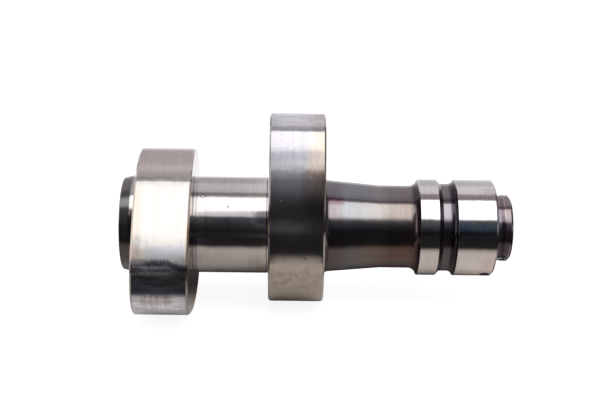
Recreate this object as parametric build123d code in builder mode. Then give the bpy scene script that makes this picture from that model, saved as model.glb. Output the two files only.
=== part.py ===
"""A two-lobe camshaft, forged in one piece, then turned and ground.

The axis of the shaft is the X axis, and the origin is the middle of the centre journal. From
the plain end to the drive end it has: an end boss, the end lobe, the centre journal between
two grinding reliefs, the neck lobe, a tapered neck, a collar, a groove, the drive journal and
a spigot. Z is up, with the camshaft lying at rest on its two lobes. Sizes are in millimetres,
and angles around the shaft start at the front (-Y) and grow upwards (+Z).
"""

from build123d import *
from math import atan2, cos, degrees, radians, sin, sqrt, tan
import os

# Diameters along the shaft
journal_d = 25.0
neck_d = 21.4
groove_d = 22.7
spigot_d = 17.2

# Lengths along the shaft, from the plain end to the drive end
boss_length = 4.55
lobe_width = 14.0
bearing_width = 19.1
neck_taper_length = 14.65
neck_straight_length = 9.65
collar_width = 4.7
groove_width = 4.75
drive_length = 10.1
spigot_length = 4.45

# Cams: one base circle, and for each lobe its lift, the radii of its nose and its flanks,
# and the direction in which its nose points
base_circle_d = 39.4
end_lobe = {"lift": 9.7, "nose_r": 10.3, "flank_r": 51.0, "direction": -20.9}
neck_lobe = {"lift": 11.1, "nose_r": 10.8, "flank_r": 38.0, "direction": 80.1}
lobe_edge_break = 0.45

# Boss: its outer end is turned down to a short lead
boss_lead_length = 2.6
boss_lead_depth = 0.6
boss_edge_break = 0.25

# Grinding reliefs beside the centre journal: V-shaped cuts with plain rings left standing
relief_depth = 0.18
relief_cut = 0.33
relief_ring = 0.36

# Neck, collar and groove
neck_taper_angle = 5.0
neck_root_r = 1.5
collar_root_r = 2.35
groove_flank_angle = 45.0
groove_root_r = 1.7

# Drive journal and spigot
drive_edge_break = 0.55
spigot_root_slope = 0.3
spigot_edge_break = 0.6
spigot_groove_width = 1.1
spigot_groove_depth = 0.12
spigot_land_width = 2.1

# Oil way: a gallery drilled from the plain end, and the two cross holes that it feeds
gallery_d = 5.0
gallery_mouth_d = 8.0
gallery_overrun = 1.0
oil_hole_d = 2.3
oil_hole_mouth_d = 2.6
drive_oil_hole_angle = -60.0
drive_oil_hole_setback = 2.2
bearing_oil_hole_angle = 150.0

# Drive end: a centre hole in the spigot's face, and a locating dimple in its side
centre_hole_d = 3.15
centre_hole_mouth_d = 6.7
centre_hole_depth = 6.0
dimple_angle = -52.0
dimple_setback = 1.6
dimple_mouth_d = 2.5
dimple_pilot_d = 1.3
dimple_depth = 2.6

# Cutting angles of the tools
centre_angle = 60.0
countersink_angle = 90.0
drill_point_angle = 118.0

# Places along the axis, counted from the middle of the centre journal
end_lobe_inner_x = -bearing_width / 2
end_lobe_outer_x = end_lobe_inner_x - lobe_width
boss_end_x = end_lobe_outer_x - boss_length
neck_lobe_inner_x = bearing_width / 2
neck_lobe_outer_x = neck_lobe_inner_x + lobe_width
taper_end_x = neck_lobe_outer_x + neck_taper_length
collar_x = taper_end_x + neck_straight_length
groove_x = collar_x + collar_width
drive_x = groove_x + groove_width
spigot_x = drive_x + drive_length
drive_end_x = spigot_x + spigot_length
drive_oil_hole_x = spigot_x - drive_oil_hole_setback

# Radii
base_r = base_circle_d / 2
journal_r = journal_d / 2
neck_r = neck_d / 2
groove_r = groove_d / 2
spigot_r = spigot_d / 2


def outward(angle):
    """Direction square to the axis, at the angle around the shaft."""
    return Vector(0, -cos(radians(angle)), sin(radians(angle)))


def cam_profile(x, lift, nose_r, flank_r, direction):
    """Section of a lobe at x: base circle, nose and two flanks, arcs that run into each other."""
    nose_x = base_r + lift - nose_r
    # Base circle and nose both touch a flank from inside, so the flank's centre lies
    # flank_r - base_r from the shaft's axis and flank_r - nose_r from the nose's centre.
    to_axis = flank_r - base_r
    to_nose = flank_r - nose_r
    flank_x = (to_axis**2 - to_nose**2 + nose_x**2) / (2 * nose_x)
    flank_y = sqrt(to_axis**2 - flank_x**2)
    heel_angle = degrees(atan2(flank_y, -flank_x))
    shoulder_angle = degrees(atan2(flank_y, nose_x - flank_x))
    flank_turn = heel_angle - shoulder_angle
    across = Plane(origin=(x, 0, 0), x_dir=outward(direction), z_dir=(1, 0, 0))
    with BuildSketch(across) as profile:
        with BuildLine():
            CenterArc((0, 0), base_r, heel_angle, 360 - 2 * heel_angle)
            CenterArc((flank_x, -flank_y), flank_r, shoulder_angle, flank_turn)
            CenterArc((nose_x, 0), nose_r, -shoulder_angle, 2 * shoulder_angle)
            CenterArc((flank_x, flank_y), flank_r, -heel_angle, flank_turn)
        make_face()
    return profile.sketch


def drilled_section(mouth_x, inwards, drill_d, mouth_d, depth):
    """Half-section of a hole on the axis, with a centre's cone at its mouth and a drill point."""
    drill_r, mouth_r = drill_d / 2, mouth_d / 2
    cone = (mouth_r - drill_r) / tan(radians(centre_angle / 2))
    point = drill_r / tan(radians(drill_point_angle / 2))
    with BuildSketch(Plane.XZ) as section:
        with BuildLine():
            Polyline(
                (mouth_x, 0),
                (mouth_x, mouth_r),
                (mouth_x + inwards * cone, drill_r),
                (mouth_x + inwards * depth, drill_r),
                (mouth_x + inwards * (depth + point), 0),
                close=True,
            )
        make_face()
    return section.sketch


def root_run(root_r, height):
    """Length along the axis of a root's arc that climbs through a height."""
    return sqrt(root_r**2 - (root_r - height) ** 2)


def into_shaft(x, radius, angle):
    """Plane on the shaft's surface, with its Z axis square to the shaft and pointing outwards."""
    away = outward(angle)
    return Plane(origin=Vector(x, 0, 0) + away * radius, x_dir=(1, 0, 0), z_dir=away)


def circle_edge(part, x, radius):
    """The round edge of the part at x that has the given radius."""
    circles = part.edges().filter_by(GeomType.CIRCLE)
    at_x = circles.filter_by_position(Axis.X, x - 0.001, x + 0.001)
    return at_x.sort_by(lambda edge: abs(edge.radius - radius))[0]


with BuildPart() as camshaft:
    # Lobes, with the edges of their rims broken
    extrude(cam_profile(end_lobe_outer_x, **end_lobe), amount=lobe_width)
    extrude(cam_profile(neck_lobe_inner_x, **neck_lobe), amount=lobe_width)
    chamfer(camshaft.edges(), lobe_edge_break)

    # Shaft: half of its section, turned about the axis. The neck's taper and the journal meet
    # inside the neck lobe.
    taper_rise = tan(radians(neck_taper_angle))
    meeting_x = neck_lobe_outer_x - lobe_width / 2
    meeting_r = neck_r + (taper_end_x - meeting_x) * taper_rise
    collar_run = root_run(collar_root_r, journal_r - neck_r)
    groove_run = root_run(groove_root_r, journal_r - groove_r)
    flank_run = (journal_r - groove_r) / tan(radians(groove_flank_angle))
    with BuildSketch(Plane.XZ):
        with BuildLine():
            Polyline(
                (collar_x - collar_run, neck_r),
                (taper_end_x, neck_r),
                (meeting_x, meeting_r),
                (meeting_x, journal_r),
                (boss_end_x + boss_lead_length, journal_r),
                (boss_end_x, journal_r - boss_lead_depth),
                (boss_end_x, 0),
                (drive_end_x, 0),
                (drive_end_x, spigot_r),
                (spigot_x, spigot_r),
                (spigot_x, journal_r),
                (drive_x, journal_r),
            )
            RadiusArc((drive_x, journal_r), (drive_x - groove_run, groove_r), groove_root_r)
            Polyline(
                (drive_x - groove_run, groove_r),
                (groove_x + flank_run, groove_r),
                (groove_x, journal_r),
                (collar_x, journal_r),
            )
            RadiusArc((collar_x, journal_r), (collar_x - collar_run, neck_r), collar_root_r)
        make_face()
    revolve(axis=Axis.X)

    # Roots and broken edges of the shaft
    neck_root_edge_r = neck_r + neck_taper_length * taper_rise
    fillet(circle_edge(camshaft, neck_lobe_outer_x, neck_root_edge_r), neck_root_r)
    chamfer(circle_edge(camshaft, spigot_x, spigot_r), spigot_root_slope)
    chamfer(circle_edge(camshaft, spigot_x, journal_r), drive_edge_break)
    chamfer(circle_edge(camshaft, drive_end_x, spigot_r), spigot_edge_break)
    chamfer(circle_edge(camshaft, boss_end_x, journal_r - boss_lead_depth), boss_edge_break)

    # Grinding reliefs: two cuts on the end lobe's side with a ring left standing between them,
    # and one on the neck lobe's side behind a ring. The spigot's groove is cut with them.
    end_cut_x = end_lobe_inner_x + relief_cut / 2
    relief_xs = [
        end_cut_x,
        end_cut_x + relief_cut + relief_ring,
        neck_lobe_inner_x - relief_ring - relief_cut / 2,
    ]
    with BuildSketch(Plane.XZ):
        with Locations(*[(x, journal_r) for x in relief_xs]):
            Polygon((-relief_cut / 2, 0), (0, -relief_depth), (relief_cut / 2, 0), (0, relief_depth))
        with Locations((drive_end_x - spigot_land_width - spigot_groove_width / 2, spigot_r)):
            Rectangle(spigot_groove_width, 2 * spigot_groove_depth)
    revolve(axis=Axis.X, mode=Mode.SUBTRACT)

    # Gallery from the plain end to just past the drive journal's oil hole, and the centre hole
    gallery_depth = drive_oil_hole_x + oil_hole_d / 2 + gallery_overrun - boss_end_x
    gallery = drilled_section(boss_end_x, 1, gallery_d, gallery_mouth_d, gallery_depth)
    centre = drilled_section(drive_end_x, -1, centre_hole_d, centre_hole_mouth_d, centre_hole_depth)
    revolve(gallery, axis=Axis.X, mode=Mode.SUBTRACT)
    revolve(centre, axis=Axis.X, mode=Mode.SUBTRACT)

    # Oil holes down to the gallery, and the locating dimple
    with Locations(
        into_shaft(drive_oil_hole_x, journal_r, drive_oil_hole_angle),
        into_shaft(0, journal_r, bearing_oil_hole_angle),
    ):
        CounterSinkHole(oil_hole_d / 2, oil_hole_mouth_d / 2, journal_r, countersink_angle)
    with Locations(into_shaft(spigot_x + dimple_setback, spigot_r, dimple_angle)):
        CounterSinkHole(dimple_pilot_d / 2, dimple_mouth_d / 2, dimple_depth, countersink_angle)

camshaft.part.label = "camshaft"
os.makedirs("parts", exist_ok=True)
export_step(camshaft.part, "parts/camshaft.step")
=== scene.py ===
# %% [markdown]
# # A ground steel camshaft, dressed in Blender
# The shape comes from the packed CAD model, which stays as it is. This file gives it
# its steel, bright and dark surroundings to mirror, and a camera. The frame is in
# metres, with +X along the shaft to its drive end and +Z up. Places in the materials
# are in millimetres, and angles round the shaft are in degrees.

import math

import bmesh
import bpy
from mathutils import Matrix, Vector


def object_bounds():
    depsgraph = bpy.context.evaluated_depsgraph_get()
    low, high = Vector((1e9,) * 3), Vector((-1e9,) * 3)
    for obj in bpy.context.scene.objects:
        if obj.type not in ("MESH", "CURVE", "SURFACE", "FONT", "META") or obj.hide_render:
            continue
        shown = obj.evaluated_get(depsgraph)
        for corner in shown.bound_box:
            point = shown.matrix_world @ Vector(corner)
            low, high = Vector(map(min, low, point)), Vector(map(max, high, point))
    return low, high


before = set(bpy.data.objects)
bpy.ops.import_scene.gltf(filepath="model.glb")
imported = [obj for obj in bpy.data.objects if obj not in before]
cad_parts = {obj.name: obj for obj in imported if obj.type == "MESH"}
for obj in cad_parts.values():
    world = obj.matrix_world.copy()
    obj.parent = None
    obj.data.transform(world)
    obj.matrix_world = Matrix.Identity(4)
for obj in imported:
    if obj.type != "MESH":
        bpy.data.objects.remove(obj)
cad_box = [list(map(float, corner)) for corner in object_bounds()]
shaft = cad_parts["camshaft"]
MM = 0.001
low, high = (Vector(corner) for corner in cad_box)
print("camshaft", [round(side / MM, 1) for side in high - low], "mm")
print("camshaft", len(shaft.data.polygons), "faces")

# %% [markdown]
# ## Camera
# A long lens close to the shaft, 18 degrees above it and almost square to it. The
# camera starts at the point it aims at, is turned there and then drawn back, so each
# number is one thing to set: aim, turn, tilt, roll and distance. A Track To
# constraint would aim it too, but it leaves no say over the roll.

# %% Camera
AIM = (17.46, 1.98, 6.27)
DISTANCE, ELEVATION, AZIMUTH, ROLL = 310.6, 17.99, -0.697, 0.988
FOCAL_IN_PIXELS, PICTURE_WIDTH, SENSOR = 1191.5, 600, 36.0

lens = bpy.data.cameras.new("camera")
lens.sensor_width = SENSOR
lens.lens = SENSOR * FOCAL_IN_PIXELS / PICTURE_WIDTH
camera = bpy.data.objects.new("camera", lens)
bpy.context.scene.collection.objects.link(camera)
camera.matrix_world = (
    Matrix.Translation(Vector(AIM) * MM)
    @ Matrix.Rotation(math.radians(AZIMUTH), 4, "Z")
    @ Matrix.Rotation(math.radians(90 - ELEVATION), 4, "X")
    @ Matrix.Rotation(math.radians(ROLL), 4, "Z")
    @ Matrix.Translation((0, 0, DISTANCE * MM))
)
bpy.context.scene.camera = camera
bpy.context.scene.view_settings.view_transform = "Standard"
stands_at = [round(c / MM) for c in camera.matrix_world.translation]
print("lens", round(lens.lens, 1), "mm, at", stands_at, "mm")

# %% [markdown]
# ## Sums on shader sockets
# A pattern is arithmetic on coordinates. By hand, each step of it would be a Math node
# and two links. `Wire` holds one output socket and turns + - and * into those nodes, so
# a mask reads like a formula.

# %% One socket that can be summed


class Wire:
    """One output socket that sums can be written on."""

    def __init__(self, net, socket):
        self.net, self.socket = net, socket

    def work_out(self, operation, *values):
        return self.net.add("ShaderNodeMath", {"operation": operation}, values)

    def __add__(self, other):
        return self.work_out("ADD", self, other)

    def __sub__(self, other):
        return self.work_out("SUBTRACT", self, other)

    def __rsub__(self, other):
        return self.work_out("SUBTRACT", other, self)

    def __mul__(self, other):
        # A product over several masks starts at a plain 1, which needs no node.
        times_one = isinstance(other, int) and other == 1
        return self if times_one else self.work_out("MULTIPLY", self, other)

    def __neg__(self):
        return self * -1

    __radd__, __rmul__ = __add__, __mul__

    def top(self, other):
        """The larger of two values."""
        return self.work_out("MAXIMUM", self, other)

    def root(self):
        return self.work_out("SQRT", self)


print("a Wire can", ", ".join(name for name in vars(Wire) if name[0] != "_"))

# %% [markdown]
# ## The nodes of one material
# One method makes any node. Its settings come first, because some of them change which
# inputs the node has, and then come the values or links of its inputs.

# %% Any node


class Nodes:
    """The nodes of one material."""

    def __init__(self, owner):
        owner.use_nodes = True
        self.tree = owner.node_tree
        self.tree.nodes.clear()

    def add(self, kind, settings=None, sockets=(), output=0):
        """A node. Its sockets go by name or in order, and output=None gives the node."""
        node = self.tree.nodes.new(kind)
        for name, value in (settings or {}).items():
            if name == "stops":
                self.set_stops(node.color_ramp, value)
            else:
                setattr(node, name, value)
        pairs = sockets.items() if isinstance(sockets, dict) else enumerate(sockets)
        for key, value in pairs:
            if isinstance(value, Wire):
                self.tree.links.new(value.socket, node.inputs[key])
            else:
                node.inputs[key].default_value = value
        return node if output is None else Wire(self, node.outputs[output])

    def set_stops(self, ramp, stops):
        while len(ramp.elements) > 1:
            ramp.elements.remove(ramp.elements[-1])
        for number, (place, colour) in enumerate(stops):
            element = ramp.elements[0] if number == 0 else ramp.elements.new(place)
            element.position = place
            element.color = (*colour, 1)

    def finish(self, surface):
        self.add("ShaderNodeOutputMaterial", {}, {"Surface": surface}, output=None)
        return len(self.tree.nodes)


print("Nodes can", ", ".join(name for name in vars(Nodes) if name[0] != "_"))

# %% [markdown]
# Most of a pattern is masks: numbers from 0 to 1 that say where something is. A mask
# rises or falls along a value, or is a band of it. A curve with any number of stops is a
# colour ramp with its places spread over the real range.

# %% Masks and curves


class Masks(Nodes):
    """Nodes, with masks and curves along a value."""

    def ramp(self, value, start, end, before, after):
        ends = {"From Min": start, "From Max": end, "To Min": before, "To Max": after}
        smooth = {"interpolation_type": "SMOOTHSTEP"}
        return self.add("ShaderNodeMapRange", smooth, {"Value": value, **ends})

    def rise(self, value, start, end):
        """0 before start, 1 after end, smooth between."""
        return self.ramp(value, start, end, 0, 1)

    def fall(self, value, start, end):
        """1 before start, 0 after end, smooth between."""
        return self.ramp(value, start, end, 1, 0)

    def band(self, value, start, end, soft):
        """1 between start and end, 0 outside, soft edges. None leaves an end open."""
        parts = []
        if start is not None:
            parts.append(self.rise(value, start - soft / 2, start + soft / 2))
        if end is not None:
            parts.append(self.fall(value, end - soft / 2, end + soft / 2))
        return math.prod(parts)

    def curve(self, value, stops):
        """Straight runs between (place, level) or (place, colour) stops."""
        first, last = stops[0][0], stops[-1][0]
        ends = {"From Min": first, "From Max": last}
        share = self.add("ShaderNodeMapRange", {}, {"Value": value, **ends})
        colours = [
            ((place - first) / (last - first), level if isinstance(level, tuple) else (level,) * 3)
            for place, level in stops
        ]
        return self.add("ShaderNodeValToRGB", {"stops": colours}, (share,))


print("Masks can", ", ".join(name for name in vars(Masks) if name[0] != "_"))

# %% [markdown]
# Colours go through Mix nodes, because a Math node turns a colour grey. Patterns start
# from Object coordinates, which stay with the shaft wherever it is put.

# %% Colours, noise and places


class Net(Masks):
    """All that the materials below are made from."""

    def mix(self, amount, a, b, how="MIX"):
        """Two colours, or one laid over the other in another way."""
        settings = {"data_type": "RGBA", "blend_type": how}
        return self.add("ShaderNodeMix", settings, {0: amount, 6: a, 7: b}, output=2)

    def grey(self, level):
        return self.add("ShaderNodeCombineColor", {}, (level, level, level))

    def lit(self, colour, level):
        """A colour at a level, which may be above 1."""
        return self.mix(1.0, (*colour, 1), self.grey(level), "MULTIPLY")

    def plus(self, a, b):
        return self.mix(1.0, a, b, "ADD")

    def noise(self, point, scale, detail=2.0, roughness=0.5):
        """Soft noise, about 0.5 on average."""
        inputs = {"Vector": point, "Scale": scale, "Detail": detail, "Roughness": roughness}
        return self.add("ShaderNodeTexNoise", {}, inputs)

    def place(self):
        """Object coordinates in millimetres: the point, then its x, y and z."""
        coords = self.add("ShaderNodeTexCoord", output="Object")
        scaled = {0: coords, "Scale": 1 / MM}
        point = self.add("ShaderNodeVectorMath", {"operation": "SCALE"}, scaled)
        split = self.add("ShaderNodeSeparateXYZ", {}, (point,), output=None)
        return point, *(Wire(self, split.outputs[axis]) for axis in "XYZ")

    def turn(self, y, z):
        """The angle round the shaft in degrees: 0 in front, 90 straight up."""
        radians = self.add("ShaderNodeMath", {"operation": "ARCTAN2"}, (z, -y))
        return radians * math.degrees(1)


def material(name):
    made = bpy.data.materials.new(name)
    return made, Net(made)


print("a Net can", ", ".join(name for name in vars(Net) if name[0] != "_"))

# %% [markdown]
# ## What the steel mirrors
# Ground steel has hardly any colour of its own: it shows what stands around it. So half
# of its finish is its surroundings. A bright softbox hangs over the front of the shaft,
# with darkness under it and a grey wall behind it. Lamps could light them, but a
# mirrored edge is easier to place when it is painted. So all three are painted on one
# wall, an arc round the shaft's own axis, so that an angle on the wall is the angle at
# which the steel sees it: 0 is level in front, 90 is straight up.
#
# The softbox isn't even. Its lower edge hangs at a slant, and along that edge there is a
# weaker skirt of light, cut off sharply under its full light. Each is a curve along the
# shaft, in millimetres on the wall, of an angle in degrees or of a level of light.

# %% Softbox
TOP_BLUR = 0.7
FULL_BLUR_BELOW, FULL_BLUR_ABOVE = 3.5, 2
wall_paint, net = material("wall_paint")
_, x, y, z = net.place()
angle = net.turn(y, z)

top_edge = net.curve(x, [
    (-170, 87.3), (-85, 87.3), (-75, 86.2), (-10, 86.2), (0, 85.3), (50, 85.3), (60, 86.2),
    (250, 86.2),
])
low_edge = net.curve(x, [
    (-600, 56), (-170, 40), (-146, 39), (-142, 33.5), (-83, 33.5), (-78, 35.5), (-17, 35.5),
    (-10, 42), (-5, 47), (-2, 35), (0, 33), (28, 33.8), (50, 34.5), (58, 39), (145, 39),
    (155, 35), (230, 35.5), (236, 38),
])
low_blur = net.curve(x, [
    (-146, 3), (-142, 5), (-125, 5.5), (-112, 9), (-83, 9), (-78, 3), (-17, 3), (-10, 9),
    (-4, 6), (2, 4.5), (28, 5), (50, 3),
])
skirt_top = net.curve(x, [
    (-600, 64), (-170, 52), (-146, 51), (-142, 43.7), (-83, 43.7), (-78, 48), (-44, 48.5),
    (22, 53), (60, 50),
])
skirt = net.curve(x, [
    (-170, 0.0), (-146, 0.0), (-142, 0.64), (-124, 0.56), (-112, 0.44), (-83, 0.42),
    (-78, 0.54), (-10, 0.52), (2, 0.205), (28, 0.325), (45, 0.62), (70, 0.95), (80, 1.0),
])
brighter_right = net.curve(x, [
    (-600, 0.8), (-300, 0.9), (-150, 1.0), (40, 1.0), (95, 1.22), (150, 1.42), (250, 1.42),
])

full_light = net.rise(angle, skirt_top - FULL_BLUR_BELOW, skirt_top + FULL_BLUR_ABOVE)
skirt_light = skirt * net.rise(angle, low_edge, low_edge + low_blur)
below_top = net.fall(angle, top_edge - TOP_BLUR, top_edge + TOP_BLUR)
box_light = full_light.top(skirt_light) * below_top * brighter_right
print("softbox:", len(net.tree.nodes), "nodes so far")

# %% [markdown]
# Under the softbox the front is nearly black, with a haze that the room throws on it,
# and one cool patch far to the right. Behind the shaft the wall is a pinkish grey that is
# darkest next to the softbox.

# %% Dark front and grey back
DARKEST = 0.011
HAZE_FROM, HAZE_TO = 6, 36
COOL_LEVEL = 0.065
haze = net.curve(x, [
    (-146, 0.1), (-142, 0.13), (-84, 0.12), (-76, 0.03), (-8, 0.03), (0, 0.52), (26, 0.50),
    (44, 0.29), (60, 0.02), (140, 0.03), (150, 0.21), (172, 0.21), (176, 0.03), (188, 0.03),
    (192, 0.11), (231, 0.11), (236, 0.05),
])
ledge = net.curve(x, [
    (-150, 0.012), (-80, 0.012), (-72, 0.0), (-8, 0.0), (2, 0.045), (18, 0.04), (30, 0.012),
    (36, 0.0),
])
front_light = net.rise(angle, HAZE_FROM, HAZE_TO) * haze + ledge + DARKEST
cool_light = net.band(angle, 9, 24, 8) * net.band(x, 190, 238, 12) * COOL_LEVEL

back_tone = net.curve(angle, [
    (86, 0.30), (91, 0.34), (97, 0.45), (103, 0.60), (109, 0.71), (116, 0.75), (125, 0.73),
    (135, 0.68), (148, 0.62), (160, 0.60), (168, 0.58),
])
back_gain = net.curve(x, [
    (-600, 0.65), (-150, 0.85), (-80, 0.95), (0, 1.0), (40, 1.0), (145, 1.24), (152, 1.03),
    (170, 1.03), (178, 1.25), (250, 1.25),
])
above_top = net.rise(angle, top_edge - TOP_BLUR, top_edge + TOP_BLUR)
back_light = back_tone * back_gain * above_top
print("with front and back:", len(net.tree.nodes), "nodes so far")

# %% [markdown]
# A piece is an object whose mesh comes from a function that fills a bmesh. It has one
# material and stays at the origin, with its place in its mesh. Each piece round the
# shaft is there to be mirrored, and says what else it is seen by.

# %% Adding a piece


def new_piece(name, mesh_maker, finish):
    """A new object from a function that fills a bmesh."""
    mesh = bpy.data.meshes.new(name)
    work = bmesh.new()
    mesh_maker(work)
    work.to_mesh(mesh)
    work.free()
    piece = bpy.data.objects.new(name, mesh)
    bpy.context.scene.collection.objects.link(piece)
    piece.data.materials.append(finish)
    print(name, len(mesh.polygons), "faces")
    return piece


def seen_by(piece, camera=False, diffuse=False, shadow=False):
    """Every piece around the shaft is mirrored by it. The rest is a choice."""
    piece.visible_camera, piece.visible_diffuse = camera, diffuse
    piece.visible_shadow = shadow


print(new_piece.__name__, "and", seen_by.__name__, "are ready")

# %% [markdown]
# The paint glows, so the wall needs no lamps. The wall is one edge, 1.8 m long, spun
# round the shaft's axis. An open cylinder cut in half would do too, but the spin takes
# its two end angles as they are. The camera doesn't see it, and it casts no shadow.

# %% Wall
SOFTBOX_LIGHT = 1.75
WALL_RADIUS, WALL_HALF_LENGTH = 0.9, 0.9
WALL_FROM, WALL_TO, WALL_STEPS = -1.7, 168.0, 48


def arc(work):
    """The wall, between two angles round the shaft's axis."""
    start, end = math.radians(WALL_FROM), math.radians(WALL_TO)
    y, z = -WALL_RADIUS * math.cos(start), WALL_RADIUS * math.sin(start)
    ends = [work.verts.new((x, y, z)) for x in (-WALL_HALF_LENGTH, WALL_HALF_LENGTH)]
    bmesh.ops.spin(
        work, geom=[*ends, work.edges.new(ends)], cent=(0, 0, 0), axis=(1, 0, 0),
        angle=start - end, steps=WALL_STEPS, use_duplicate=False,
    )


wall_light = net.lit((1.0, 0.985, 0.985), box_light * SOFTBOX_LIGHT)
for colour, level in (
    ((0.93, 0.96, 1.10), front_light),
    ((0.35, 0.80, 1.45), cool_light),
    ((1.0, 0.925, 0.955), back_light),
):
    wall_light = net.plus(wall_light, net.lit(colour, level))
net.finish(net.add("ShaderNodeEmission", {}, {"Color": wall_light}))
wall = new_piece("painted_wall", arc, wall_paint)
seen_by(wall, diffuse=True)

# %% [markdown]
# A grey-brown board closes the arc at the drive end. Its grey-brown is a dim glow for
# the steel to mirror. Without it the edges that face that way would mirror the white
# room. A capped circle, turned to stand across the shaft's axis, is enough.

# %% Board at the drive end
BOARD_COLOUR = (0.27, 0.245, 0.235, 1)


def disc(work):
    """A round board standing across the shaft's axis."""
    across_axis = Matrix.Rotation(math.pi / 2, 4, "Y")
    at_end = Matrix.Translation((WALL_HALF_LENGTH, 0, 0))
    bmesh.ops.create_circle(
        work, cap_ends=True, segments=48, radius=WALL_RADIUS, matrix=at_end @ across_axis
    )


board_paint, net = material("board_paint")
net.finish(net.add("ShaderNodeEmission", {}, {"Color": BOARD_COLOUR}))
board = new_piece("end_board", disc, board_paint)
seen_by(board)

# %% [markdown]
# The table and the floor are level sheets. Each is a grid of one face, stretched and
# placed by a matrix while it is made, so the object itself needs no scale.

# %% A level sheet
FLOOR_Z = low.z


def sheet(x_range, y_range, z):
    """A flat sheet lying level."""

    def make(work):
        (x0, x1), (y0, y1) = x_range, y_range
        middle = Matrix.Translation(((x0 + x1) / 2, (y0 + y1) / 2, z))
        sides = Matrix.Diagonal((x1 - x0, y1 - y0, 1, 1))
        bmesh.ops.create_grid(
            work, x_segments=1, y_segments=1, size=0.5, matrix=middle @ sides
        )

    return make


print("the shaft rests at", round(FLOOR_Z / MM, 2), "mm")

# %% [markdown]
# The shaft lies on a warm white table. Its front edge is a few centimetres in front of
# the shaft, with black cloth from there on. The table's paint is darker right under the
# shaft and behind it, as painted shade, and lighter along parts of it, as painted light.
# The cloth is painted a little lighter where the lobes and the journal mirror it, and it
# is pale beyond the drive end. One sheet does for both, and its paint tells them apart.
# It lies a hair below the shaft, and the floor a hair below it, so no two faces coincide.

# %% Table
TABLE_DROP = 0.0002
TABLE_X, TABLE_Y = (-0.9, 0.9), (-0.9, 0.105)
TABLE_COLOUR = (0.66, 0.605, 0.555)
CLOTH_COLOUR = (0.018, 0.017, 0.018, 1)
LIT_CLOTH = (0.042, 0.044, 0.052, 1)
PAINTED_LIGHTER_CLOTH = (0.065, 0.063, 0.07, 1)
PALE_CLOTH = (0.3, 0.29, 0.285, 1)

table_finish, net = material("table_top")
_, x, y, z = net.place()
front_edge = -net.curve(x, [
    (-40, 42.5), (-11, 42.5), (-8, 40), (8, 40), (11, 49), (23, 49), (26, 36), (48, 36),
    (51, 41), (72, 41), (76, 36),
])
# Painted light and shade across the table: lightest just in front of the shaft, darkest under and
# behind it.
shade = net.curve(y, [
    (-60, 0.76), (-35, 0.80), (-27, 1.08), (-18, 1.2), (-8, 1.42), (-2, 1.15), (2, 0.5),
    (8, 0.16), (60, 0.14), (75, 0.5), (105, 0.62),
])
# Painted light along the table, strongest under the end lobe.
along_table = net.curve(x, [
    (-40, 1.2), (-35, 1.2), (-31, 1.56), (-13, 1.56), (-9, 1.008), (20, 1.008), (50, 1.104),
])
# Painted light on the cloth, where the lobes and the journal mirror it.
lit_cloth = net.fall(x, -45, -25).top(net.fall(x, -14, -8) * net.rise(y, -100, -80))
painted_lighter_cloth = net.band(x, 1, 23, 6) * net.fall(y, -150, -100)
cloth = net.mix(lit_cloth, CLOTH_COLOUR, LIT_CLOTH)
cloth = net.mix(painted_lighter_cloth, cloth, PAINTED_LIGHTER_CLOTH)
cloth = net.mix(net.rise(x, 150, 300), cloth, PALE_CLOTH)
on_table = net.rise(y, front_edge - 3, front_edge + 9) * net.fall(x, 88, 112)
cloth_or_table = net.mix(on_table, cloth, net.lit(TABLE_COLOUR, shade * along_table))
net.finish(net.add("ShaderNodeBsdfDiffuse", {}, {"Color": cloth_or_table}))
table = new_piece("table", sheet(TABLE_X, TABLE_Y, FLOOR_Z - TABLE_DROP), table_finish)
seen_by(table)

# %% [markdown]
# The floor that the camera sees is plain white and keeps the shaft's shadow. More lamp
# light would whiten it, but it would change the steel as well. So its white is a glow
# for camera, glossy and transmission rays only, which throws no light.

# %% White floor and room
FLOOR_GLOW, FLOOR_GREY, ROOM_LIGHT = 0.88, 0.3, 1.0
FLOOR_DROP, FLOOR_SPAN = 0.0004, (-6, 6)
WHITE = (1, 1, 1, 1)
floor_finish, net = material("pale_floor")
rays = net.add("ShaderNodeLightPath", output=None)
shown = Wire(net, rays.outputs["Is Camera Ray"])
for kind in ("Is Glossy Ray", "Is Transmission Ray"):
    shown = shown.top(Wire(net, rays.outputs[kind]))
glow = net.add("ShaderNodeEmission", {}, {"Color": net.lit((1, 1, 1), shown * FLOOR_GLOW)})
shadowed = net.add("ShaderNodeBsdfDiffuse", {}, {"Color": (*[FLOOR_GREY] * 3, 1)})
net.finish(net.add("ShaderNodeAddShader", {}, (shadowed, glow)))
floor = new_piece("floor", sheet(FLOOR_SPAN, FLOOR_SPAN, FLOOR_Z - FLOOR_DROP), floor_finish)
seen_by(floor, camera=True, diffuse=True, shadow=True)

world = bpy.data.worlds.new("white_room")
bpy.context.scene.world = world
world.use_nodes = True
room = world.node_tree.nodes["Background"].inputs
room["Color"].default_value = WHITE
room["Strength"].default_value = ROOM_LIGHT
print("floor glow", FLOOR_GLOW, "room", ROOM_LIGHT)

# %% [markdown]
# ## Where things are on the shaft
# The steel's material reads Object coordinates, so a place on the shaft is its x in
# millimetres and its turn in degrees. Masks pick out each region by x, and the lobes by
# their distance from the axis too. Several materials could share the shaft out by
# faces, but then no stain could cross from one to the next.

# %% Regions
LOBES_BEGIN = (12.8, 13.2)
REGION_BLUR = 0.1
REGIONS = {
    "boss": (-30.0, -23.55),
    "end_lobe": (-23.45, -9.5),
    "journal": (-9.5, 9.5),
    "neck_lobe": (9.65, 23.45),
    "neck": (23.55, 47.75),
    "collar": (47.85, 52.5),
    "groove": (52.6, 57.25),
    "drive": (57.35, 67.35),
    "spigot": (67.45, 73.0),
}
steel, net = material("ground_steel")
point, x, y, z = net.place()
radius = (y * y + z * z).root()
turn = net.turn(y, z)

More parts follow.
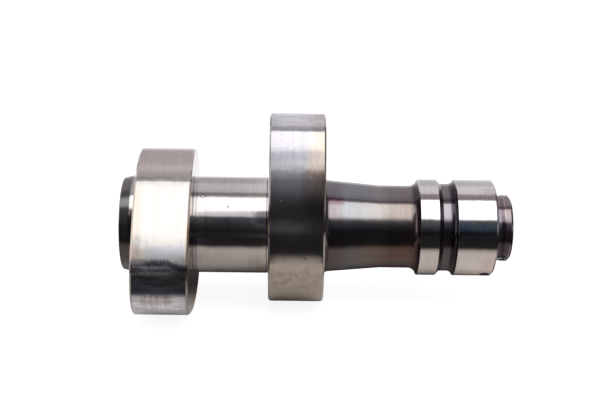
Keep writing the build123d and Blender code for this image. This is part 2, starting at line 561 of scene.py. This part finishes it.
proud, flush = net.rise(radius, *LOBES_BEGIN), net.fall(radius, *LOBES_BEGIN)
on = {
    name: net.band(x, *span, REGION_BLUR) * (proud if name.endswith("lobe") else flush)
    for name, span in REGIONS.items()
}
print(len(on), "regions:", ", ".join(on))

# %% [markdown]
# Seven noises serve the whole finish. Four are drawn out, for marks with a direction:
# fine rings and wide ones from turning and grinding, short scratches, and smears from
# wiping along the shaft. Three are even: clouds a few millimetres across, blotches half
# that size and a finer mottle.
#
# Rings follow x along the shaft. On a face square to the axis x doesn't change, and the
# tool leaves circles there instead, so on such faces the rings follow the radius too.

# %% Noises
SQUARE_ON = (0.8, 0.95)
FINE_RINGS_PER_MM, WIDE_RINGS_PER_MM = 2.6, 0.9


def drawn_out(along, along_scale, round_scale, detail, roughness):
    """Noise that changes at one pace along the shaft and at another round it."""
    sockets = (along * along_scale, y * round_scale, z * round_scale)
    stretched = net.add("ShaderNodeCombineXYZ", {}, sockets)
    return net.noise(stretched, 1.0, detail, roughness)


normal = net.add("ShaderNodeTexCoord", output="Normal")
end_on = net.add("ShaderNodeSeparateXYZ", {}, (normal,))
side_face = net.rise(end_on * end_on, *SQUARE_ON)
ring_place = x + radius * side_face

rings = drawn_out(ring_place, FINE_RINGS_PER_MM, 0.06, 4.0, 0.75)
wide_rings = drawn_out(ring_place, WIDE_RINGS_PER_MM, 0.03, 3.0, 0.6)
scratches = drawn_out(x, 4.6, 2.0, 3.0, 0.8)
smears = drawn_out(x, 0.22, 1.5, 3.0, 0.6)
cloud = net.noise(point, 0.22, 4.0, 0.6)
blotch = net.noise(point, 0.55, 4.0, 0.65)
mottle = net.noise(point, 1.3, 5.0, 0.75)
print("fine rings", FINE_RINGS_PER_MM, "and wide rings", WIDE_RINGS_PER_MM, "to the millimetre")

# %% [markdown]
# ## Stains, painted light and painted shade
# Handled steel is never one colour: heat, oil and fingers leave it cream, lilac or brown
# in places. The same washes also paint light and shade on the steel: dark lines over its
# light, darker tops, undersides and roots, and lighter bands, lips and glints. They could
# be painted on an image, but as masks they stay sharp at any size and keep their places
# when the shape changes. A wash lies over a stretch of the shaft and of its turn, and its
# edges wander with the blotches. It multiplies the tint, as a thin film does, so washes
# lie over each other in any order. The tint starts white.

# %% Stains, painted light and painted shade as washes
wander = blotch - 0.5
tint = WHITE


def patch(across, around, soft=(0.8, 6), ragged=(1.5, 10)):
    """A mask over x in millimetres and turn in degrees, with wandering edges."""
    mask = 1
    for place, span, blur, unrest in zip((x, turn), (across, around), soft, ragged):
        if span:
            mask = net.band(place + wander * unrest if unrest else place, *span, blur) * mask
    return mask


def wash(tint, mask, colour):
    """Multiplies the tint by a colour where the mask is 1."""
    return net.mix(mask, tint, (*colour, 1), "MULTIPLY")


def washes(tint, region, stains_and_painted_light):
    """Each stain or painted light: across, around, softness, raggedness and colour. None means all
    the way.
    """
    for across, around, soft, ragged, colour in stains_and_painted_light:
        tint = wash(tint, patch(across, around, soft, ragged) * on[region], colour)
    print(region, len(stains_and_painted_light), "stains_and_painted_light")
    return tint


print("stains multiply a tint that starts at", tint[:3])

# %% [markdown]
# The end lobe is bright, with cream stains along its left edge and a cool band low down.
# The dark line on top of its light is painted shade, as are its duller back and the low
# ends of its broken edges, and its left broken edge is painted lighter. Its nose, below,
# is bluish.

# %% End lobe
tint = washes(tint, "end_lobe", [
    # across, around, softness, raggedness, colour
    (None, (-2, 52), (1, 3), (0, 0), (1.0, 0.98, 0.95)),  # its whole light, a little warm
    ((None, -21.4), (10, 46), (2.4, 8), (3, 10), (0.982, 0.919, 0.847)),  # cream, left edge
    ((None, -21), (-2, 7), (2.0, 3), (2, 3), (0.96, 0.872, 0.808)),  # browner below it
    ((-10.45, None), (-8, 20), (0.4, 6), (0.3, 6), (1, 0.944, 0.856)),  # cream, right edge
    ((-19, None), (0, 7), (3, 3), (2, 3), (0.92, 0.952, 1.024)),  # cool band low down
    (None, (-50, -13.5), (1, 2), (1, 2), (0.93, 0.98, 1.08)),  # bluish nose
    ((None, -23), (None, 48), (0.3, 3), (0.1, 2), (1.15, 1.06, 1.0)),  # left broken edge, painted lighter
    ((None, -23), (None, -1), (0.3, 3), (0.1, 2), (0.4, 0.4, 0.42)),  # and low down, painted shade
    ((-10.1, None), (None, 48), (0.3, 3), (0.1, 2), (0.95, 0.84, 0.78)),  # right broken edge
    ((-10.1, None), (None, -3), (0.3, 3), (0.1, 2), (0.74, 0.80, 0.84)),  # and low down, painted shade
    ((-9.75, None), (40, None), (0.1, 4), (0, 4), (0.78, 0.79, 0.8)),  # rim of its side
    (None, (50.9, 54.2), (0.5, 1.3), (0.4, 2.0), (0.5, 0.47, 0.46)),  # painted dark line over its light
    (None, (56, 120), (1, 5), (1, 6), (1.05, 0.99, 0.95)),  # warm top
    (None, (66, 120), (1, 8), (1, 4), (0.8, 0.78, 0.78)),  # painted shade towards the back
])

# %% [markdown]
# Where its light ends, low down, a black band of painted shade is brushed by the rings,
# with a lilac streak under it. Both sag towards the journal, so the turn is bent there
# before the bands are cut from it.

# %% Painted shade where the end lobe's light ends
SAG = 2.6
BRUSHED_BY_RINGS, RAGGED_DARK_BAND, RAGGED_STREAK = 5, 2, 1.5
LEFT_STRENGTH = 0.35
low_turn = turn + net.rise(x, -15.5, -9.5) * SAG
brush = low_turn + (rings - 0.5) * BRUSHED_BY_RINGS + wander * RAGGED_DARK_BAND
stronger_right = net.rise(x, -21.5, -18.5) * (1 - LEFT_STRENGTH) + LEFT_STRENGTH
painted_dark_band = net.band(brush, -3.4, -0.8, 2.0) * stronger_right * on["end_lobe"]
tint = wash(tint, painted_dark_band, (0.2, 0.2, 0.25))
streak = net.band(low_turn + wander * RAGGED_STREAK, -6.4, -2.6, 1.6) * on["end_lobe"]
tint = wash(tint, streak, (0.42, 0.395, 0.425))
print("smear sags", SAG, "degrees towards the journal")

# %% [markdown]
# The nose has a mottled brown patch on it and a paler mottle all round. Both use one
# pattern of spots, made of the mottle and the rings.

# %% Nose of the end lobe
PATCH_BASE, NOSE_MOTTLE = 0.2, 0.35
spots = net.fall(mottle * 0.5 + rings * 0.6, 0.44, 0.66)
nose_patch = patch((-21.0, -13.4), (-22.8, -16.4), (1.6, 1.6), (3, 4)) * on["end_lobe"]
tint = wash(tint, nose_patch * (spots * (1 - PATCH_BASE) + PATCH_BASE), (0.60, 0.52, 0.48))
nose = patch((-24, -9), (-50, -14), (1, 3), (1, 3)) * on["end_lobe"]
tint = wash(tint, nose * spots * NOSE_MOTTLE, (0.70, 0.70, 0.72))
print("nose: patch and", NOSE_MOTTLE, "of its mottle all round")

# %% [markdown]
# The neck lobe is cooler on the left and warmer on the right, with a brown bruise under
# the edge of its light, faint smudges on its dark front and beige stains below. Painted
# shade darkens a step under its light, a line over it, its underside and its cool grey
# top, and painted light brightens the end of the step.

# %% Neck lobe
tint = washes(tint, "neck_lobe", [
    # across, around, softness, raggedness, colour
    ((None, 19.5), (60.9, 70.5), (2.4, 2), (1.5, 1.5), (0.815, 0.805, 0.845)),  # its light
    ((19.5, None), (60.9, 70.5), (2.4, 2), (1.5, 1.5), (0.90, 0.87, 0.84)),  # cream, right
    (None, (55.2, 60.6), (3, 3), (2.2, 0.9), (0.835, 0.83, 0.845)),  # painted darker step under its light
    (None, (46.5, 52.6), (3, 3), (2.2, 1.2), (1.26, 1.24, 1.22)),  # painted lighter where that ends
    ((None, 18.8), (46, 62), (1.6, 6), (1.0, 6), (0.885, 0.90, 0.96)),  # lilac in the step
    ((18.8, None), (44, 63), (1.6, 6), (1.0, 6), (1.027, 0.955, 0.883)),  # cream in the step
    ((20.6, None), (30, 84), (1.2, 8), (1.0, 6), (1, 0.965, 0.923)),  # cream, right edge
    ((18, None), (30, 50), (2.6, 10), (2.5, 14), (0.70, 0.60, 0.55)),  # brown bruise
    ((12, 18), (8, 20), (2.4, 6), (3, 16), (1.25, 1.25, 1.25)),  # smudge on the front
    (None, (-60, -4), (1, 8), (1, 6), (1, 0.96, 0.901)),  # beige below
    (None, (69.6, 72.4), (1, 1.6), (1, 2), (0.728, 0.728, 0.744)),  # painted dark line over its light
    ((None, 10), (-20, 62), (0.3, 6), (0.1, 4), (0.62, 0.58, 0.57)),  # left broken edge
    ((23.1, None), (-20, 18), (0.3, 6), (0.1, 4), (0.42, 0.4, 0.4)),  # right broken edge
    (None, (-70, -16), (1, 6), (1, 4), (0.85, 0.84, 0.83)),  # painted shade below
    (None, (72, None), (1, 3), (1, 4), (0.8, 0.82, 0.85)),  # cool grey top, with painted shade
    ((11, 22), (74, 84), (5, 6), (3, 8), (1.072, 1.036, 1.048)),  # pinkish on top
])
beige = patch((9.8, 23.0), (-36, -15), (1.5, 5), (3, 10)) * on["neck_lobe"]
beige_spots = net.fall(blotch + (mottle - 0.5) * 0.3, 0.32, 0.68)
tint = wash(tint, beige * beige_spots, (0.78, 0.72, 0.65))

# %% [markdown]
# The journals are the cleanest steel: faint beige rings near the neck lobe and a pinkish
# edge to the light. Painted shade darkens a line over their light, ragged and purple-brown
# at the drive end, their tops, a notch in the light, a patch above the drive journal's
# light and its lowest edge. In front at the drive end lies one painted blue reflection,
# ringed.

# %% Journals
tint = washes(tint, "journal", [
    # across, around, softness, raggedness, colour
    ((6.4, 8.5), (-60, 60), (0.4, 8), (0.2, 0), (1, 0.958, 0.91)),  # beige rings
    (None, (24, 33), (1, 4), (1, 4), (1.014, 0.965, 0.972)),  # pinkish edge of its light
    (None, (-50, -5), (1, 8), (1, 6), (0.985, 0.985, 0.99)),  # below
    ((4.6, 7.6), (-36, -20), (1.4, 6), (2, 12), (0.888, 0.872, 0.864)),  # smudge below
    (None, (54.5, 59), (1, 2.5), (1, 3), (0.64, 0.631, 0.64)),  # painted dark line over its light
    (None, (76, None), (1, 6), (1, 3), (0.84, 0.84, 0.84)),  # painted shade on top
    ((-4, None), (17, 28), (6, 3), (0.5, 3), (0.72, 0.72, 0.74)),  # shade under its light
    ((6.2, None), (20, 34.5), (2, 3), (1, 5), (0.45, 0.45, 0.48)),  # painted shade, a notch in its light
])
for region in ("collar", "drive"):
    tint = washes(tint, region, [
        (None, (52.0, 61.0), (1, 2.8), (1, 6), (0.60, 0.53, 0.56)),  # purple-brown line, painted shade over the light
        (None, (76, None), (1, 6), (1, 3), (0.84, 0.84, 0.84)),  # painted shade on top
        (None, (-60, -5), (1, 8), (1, 6), (1, 0.987, 0.985)),  # below
    ])
tint = washes(tint, "drive", [
    ((63.5, None), (-65, -20), (2, 8), (3, 14), (0.928, 0.838, 0.865)),  # lilac below
    (None, (-75, -62), (1, 3), (0.5, 2), (0.68, 0.68, 0.696)),  # painted shade on its lowest edge
    ((66.9, None), None, (0.2, 3), (0, 0), (0.8, 0.72, 0.8)),  # broken edge
    ((63.5, None), (60, 72), (2, 4), (2, 8), (0.86, 0.85, 0.86)),  # painted shade above its light
])
# A painted blue reflection in front of the drive journal, broken up by the rings.
blue = patch(None, (2, 27), (1, 5), (1, 4)) * on["drive"] * net.rise(rings, 0.42, 0.62)
tint = wash(tint, blue, (0.66, 0.80, 0.98))

# %% [markdown]
# ## Oxide
# The boss, neck, groove and spigot were never ground after hardening, so they keep a
# skin of oxide. On the neck its colour runs along the shaft, from lilac at the lobe
# through blue-grey and straw to brown at the collar, so it is one curve of colours that
# wavers with the clouds. It covers the tint, and the neck's own stains lie over it,
# with painted shade over its light and at both its roots.

# %% Oxide of the neck
NECK_OXIDE = [
    (23.4, (0.38, 0.34, 0.37)), (26.0, (0.41, 0.36, 0.39)), (27.5, (0.43, 0.40, 0.42)),
    (29.3, (0.455, 0.48, 0.50)), (33.0, (0.47, 0.475, 0.49)), (37.0, (0.50, 0.475, 0.46)),
    (39.6, (0.49, 0.455, 0.44)), (40.3, (0.44, 0.40, 0.375)), (45.0, (0.44, 0.375, 0.355)),
    (46.8, (0.36, 0.31, 0.31)), (48.2, (0.24, 0.20, 0.22)),
]
OXIDE_WAVER = 1.5
oxide = net.curve(x + (cloud - 0.5) * OXIDE_WAVER, NECK_OXIDE)
tint = net.mix(on["neck"], tint, oxide)
tint = washes(tint, "neck", [
    # across, around, softness, raggedness, colour
    (None, (52, None), (1, 3), (1, 5), (0.66, 0.69, 0.74)),  # blue-grey top
    (None, (51, 56), (1, 2), (1, 6), (0.64, 0.55, 0.559)),  # purple line, painted shade over its light
    (None, (None, -5), (1, 12), (1, 6), (0.6, 0.51, 0.475)),  # brown below
    ((36, None), (None, 0), (8, 12), (2, 6), (0.776, 0.728, 0.728)),  # darker to the collar
    ((None, 32), (None, -2), (5, 10), (4, 10), (0.86, 0.93, 0.94)),  # cooler to the lobe
    (None, (None, -34), (1, 14), (1, 8), (1.0, 1.13, 1.17)),  # bluish lowest part
    ((46.9, None), (None, 50), (2.0, 6), (0.3, 4), (0.32, 0.29, 0.32)),  # painted shade at the collar's root
    ((46.2, None), (46, None), (1.0, 6), (0.3, 4), (0.6, 0.58, 0.66)),  # painted shade at that root, on top
    ((None, 24.6), (None, 58), (1.0, 6), (0.3, 4), (0.45, 0.44, 0.48)),  # painted shade at the lobe's root
    ((24.5, 28.5), (46, 56), (1.5, 4), (2, 10), (0.734, 0.615, 0.615)),  # red-brown mark
])
print(len(NECK_OXIDE), "colours along the neck")

# %% [markdown]
# On the short parts the oxide is one dark colour each, and painted light and shade do
# the rest: lighter where they face the softbox, black at the roots, darker on top and
# below. The boss is oxidised on its lead only, and ground from there to the lobe.

# %% Oxide of the boss, the groove and the spigot
LEAD_END = -25.5
BOSS_OXIDE, GROOVE_OXIDE = (0.34, 0.335, 0.345, 1), (0.32, 0.295, 0.315, 1)
SPIGOT_OXIDE = (0.335, 0.29, 0.305, 1)
tint = net.mix(net.band(x, -40, LEAD_END, 0.2), tint, BOSS_OXIDE)
tint = net.mix(on["groove"], tint, GROOVE_OXIDE)
tint = net.mix(on["spigot"], tint, SPIGOT_OXIDE)
tint = washes(tint, "groove", [
    # across, around, softness, raggedness, colour
    (None, (50.6, 58), (1, 2), (1, 2), (0.48, 0.45, 0.46)),  # painted dark line over its light
    (None, (56, None), (1, 4), (1, 2), (0.84, 0.82, 0.82)),  # painted shade on top
    (None, (-2, 50.6), (1, 2), (1, 2), (1.42, 1.42, 1.46)),  # its light
    (None, (None, -2), (1, 10), (1, 6), (0.52, 0.5, 0.52)),  # painted shade below
    ((55.6, None), None, (0.8, 6), (0.1, 4), (0.28, 0.26, 0.30)),  # painted shade at the drive journal's root
])
tint = washes(tint, "spigot", [
    ((None, 68.6), (30, None), (0.4, 6), (0.5, 8), (0.892, 0.982, 1.144)),  # bluish root
    ((68.8, 69.75), (-60, 40), (0.2, 3), (0.4, 8), (0.536, 0.52, 0.544)),  # painted shade in its groove
    ((68.8, 69.75), (40, 100), (0.2, 3), (0.4, 8), (0.762, 0.734, 0.762)),  # and on top, painted shade
    ((69.65, 69.95), (36, 100), (0.15, 6), (0.05, 8), (1.7, 1.7, 1.7)),  # painted highlight on the groove's lip
    (None, (None, 0), (1, 6), (0.6, 6), (0.34, 0.335, 0.38)),  # painted shade below
    ((68.9, 70.0), (18, 30), (0.4, 3), (0.6, 6), (0.4, 0.36, 0.4)),  # painted shade, a notch in the groove's light
    ((69.8, None), (35, 54), (0.3, 4), (0.3, 4), (1.18, 1.18, 1.162)),  # light on its land
    (None, (53, 58), (0.3, 3), (0.6, 3), (0.64, 0.568, 0.622)),  # painted dark line over its light
    (None, (-8, 24), (0.3, 8), (0.3, 4), (2.2, 2.1, 2.2)),  # painted light on its front
    ((71, None), (-60, -10), (0.4, 8), (0.2, 6), (3.2, 3, 2.8)),  # glint on its broken edge
])
tint = washes(tint, "boss", [
    ((None, -25.5), (None, 2), (1, 10), (1, 6), (0.38, 0.38, 0.37)),  # painted shade on the lead, below
    ((-25.6, None), (None, 36), (0.5, 5), (1, 6), (0.26, 0.21, 0.21)),  # painted shade on the ground part's front
    ((-25.6, None), (62, None), (0.5, 6), (1, 6), (0.74, 0.7, 0.69)),  # painted shade on the ground part's top
    ((None, -25.5), (52, 62), (1, 4), (1, 6), (0.68, 0.68, 0.68)),  # painted dark line over the lead's light
])

# %% [markdown]
# ## Nicks and specks
# A few single marks sit at known points on the shaft. Cut into the mesh, each would
# need hundreds of small faces, so each is a soft ball of colour instead: a point, a size
# and a colour. Two of them are painted glints. Dark paint on and round the mouths of
# the dimple and of the drive journal's oil hole stands for dirt on their lips and for the
# shade inside them, and a painted highlight lights the inside of the dimple.

# %% Single marks
SPECKS = [
    ((-7.11, -7.42, 10.04), 0.60, (0.50, 0.46, 0.50)),  # pit on the journal
    ((-7.11, -7.42, 10.04), 0.26, (4.0, 4.0, 4.0)),  # and its bright middle, a painted glint
    ((-0.73, -9.6, 8.0), 0.24, (0.35, 0.33, 0.35)),  # dark nick on the journal
    ((5.49, -10.4, 7.0), 0.36, (0.93, 0.84, 0.82)),  # pink fleck on the journal
    ((12.68, -18.7, 12.7), 0.26, (4.5, 4.5, 4.5)),  # bright nick on the neck lobe, a painted glint
    ((18.68, -19.6, -1.9), 0.30, (0.40, 0.36, 0.34)),  # dark nick on the neck lobe
    ((-9.55, 11.9, 14.0), 0.30, (0.40, 0.38, 0.38)),  # nick on the end lobe's side
]
# Dark paint for dirt on the holes' lips and for the painted shade inside them.
DIRT_AND_HOLE_SHADE = (0.05, 0.045, 0.055, 1)
MOUTHS_WITH_DIRT_AND_SHADE = [
    ((69.4, -5.75, -6.4), 1.65),
    ((65.2, -7.3, -10.1), 1.3),
    ((65.2, -6.25, -10.83), 1.5),
]
DIMPLE_FLOOR = (8.3, 8.5)


def ball(centre, size, soft=0.5):
    """1 inside a small ball round a point in millimetres, with a soft edge."""
    ends = {0: point, 1: centre}
    away = net.add("ShaderNodeVectorMath", {"operation": "DISTANCE"}, ends, output="Value")
    return net.fall(away, size * (1 - soft), size * (1 + soft))


for centre, size, colour in SPECKS:
    tint = wash(tint, ball(centre, size), colour)

# Dirt round the mouths of the holes, and painted shade inside them.
dirt_and_hole_shade = 0
for centre, size in MOUTHS_WITH_DIRT_AND_SHADE:
    dirt_and_hole_shade = ball(centre, size, 0.1).top(dirt_and_hole_shade)
tint = net.mix(dirt_and_hole_shade, tint, DIRT_AND_HOLE_SHADE)
# A painted highlight inside the dimple, and one just beside it.
inside_dimple = ball((69.5, -4.8, -6.8), 0.85, 0.1) * net.fall(radius, *DIMPLE_FLOOR)
painted_highlight = inside_dimple.top(ball((70.6, -5.7, -6.5), 0.3))
print(len(SPECKS), "specks and", len(MOUTHS_WITH_DIRT_AND_SHADE), "dirty mouths of holes")

# %% [markdown]
# ## The finish
# The rings are light and dark as well as rough, because each mirrors the room at its own
# slant. The lobes are scratched too, and look wiped in two bands. Every pattern is
# centred on 0, so it lightens as much as it darkens, and the amounts just add up.

# %% Colour
STEEL_COLOUR = (0.58, 0.57, 0.56, 1)
PAINTED_HIGHLIGHT_COLOUR = (0.9, 0.9, 0.9, 1)
scratched = on["neck_lobe"] * 0.75 + on["end_lobe"] * net.fall(turn, -6, 2) * 0.7
wiped = on["neck_lobe"] * net.band(turn, 74, 93, 4) * 0.6 + on["end_lobe"] * net.fall(turn, -6, -2)

shine = 1.0
for pattern, amount in (
    (rings, 0.32),
    (wide_rings, 0.12),
    (cloud, 0.08),
    (scratches, scratched),
    (smears, wiped * 1.3),
):
    shine = (pattern - 0.5) * amount + shine
tint = net.mix(1.0, tint, net.grey(shine), "MULTIPLY")
# The painted highlight is a pale colour, not metal.
colour = net.mix(painted_highlight, net.mix(1.0, tint, STEEL_COLOUR, "MULTIPLY"), PAINTED_HIGHLIGHT_COLOUR)
print("colour:", len(net.tree.nodes), "nodes so far")

# %% [markdown]
# The ground faces are the smoothest, and the oxide and the dark mouths of the holes are
# rougher. A thin film on the neck lobe, an etched edge under the end lobe's streak and
# smears round it blur what they mirror too.

# %% Roughness
GROUND_ROUGHNESS, OXIDE_ROUGHNESS = 0.13, 0.20
oxidised = on["neck"].top(on["groove"]).top(on["spigot"]).top(net.fall(x, LEAD_END - 0.2, LEAD_END))
film = patch((9, 18.5), (24, 56), (2, 8), (2, 10)) * on["neck_lobe"]
etched = net.band(low_turn + wander * 0.8, -6.6, -3.4, 2.2) * on["end_lobe"]
etched = etched * patch((-21.5, None), None, (3, 1), (3, 1))
smeared = patch(None, (-15, -1), (1, 2), (1, 3)) * on["end_lobe"] * net.rise(smears, 0.42, 0.62)

rough = GROUND_ROUGHNESS
for mask, amount in (
    (oxidised, OXIDE_ROUGHNESS - GROUND_ROUGHNESS),
    (film, 0.05),
    (etched, 0.13),
    (smeared, 0.10),
    (dirt_and_hole_shade, 0.6),
    (rings - 0.5, 0.08),
    (cloud - 0.5, 0.05),
):
    rough = mask * amount + rough
print("roughness:", len(net.tree.nodes), "nodes so far")

# %% [markdown]
# Rings a thousandth of a millimetre high are far too fine to model, so they are bumps,
# each laid over the one before with its real height. Besides the rings there is one slow
# wave, a twentieth of a millimetre high. It makes straight reflections waver a little,
# as they do on every ground part.

# %% Bumps and the steel
BUMPS = ((rings, 0.0012), (wide_rings, 0.0035), (net.noise(point, 0.16, 2.0, 0.5), 0.05))
bump = None
for height, height_in_mm in BUMPS:
    inputs = {"Strength": 1.0, "Distance": height_in_mm * MM, "Height": height}
    bump = net.add("ShaderNodeBump", {}, inputs if bump is None else {**inputs, "Normal": bump})
surface = {"Base Color": colour, "Roughness": rough, "Normal": bump}
# Neither the painted highlight nor the dark mouths of the holes are metal.
surface["Metallic"] = 1 - painted_highlight.top(dirt_and_hole_shade)
print("ground steel:", net.finish(net.add("ShaderNodeBsdfPrincipled", {}, surface)), "nodes")
shaft.data.materials.clear()
shaft.data.materials.append(steel)

# %% [markdown]
# ## Sizes
# The CAD model's box, cad_box, is taken as soon as the model is imported. The dressed
# model must stay inside the CAD model's box.
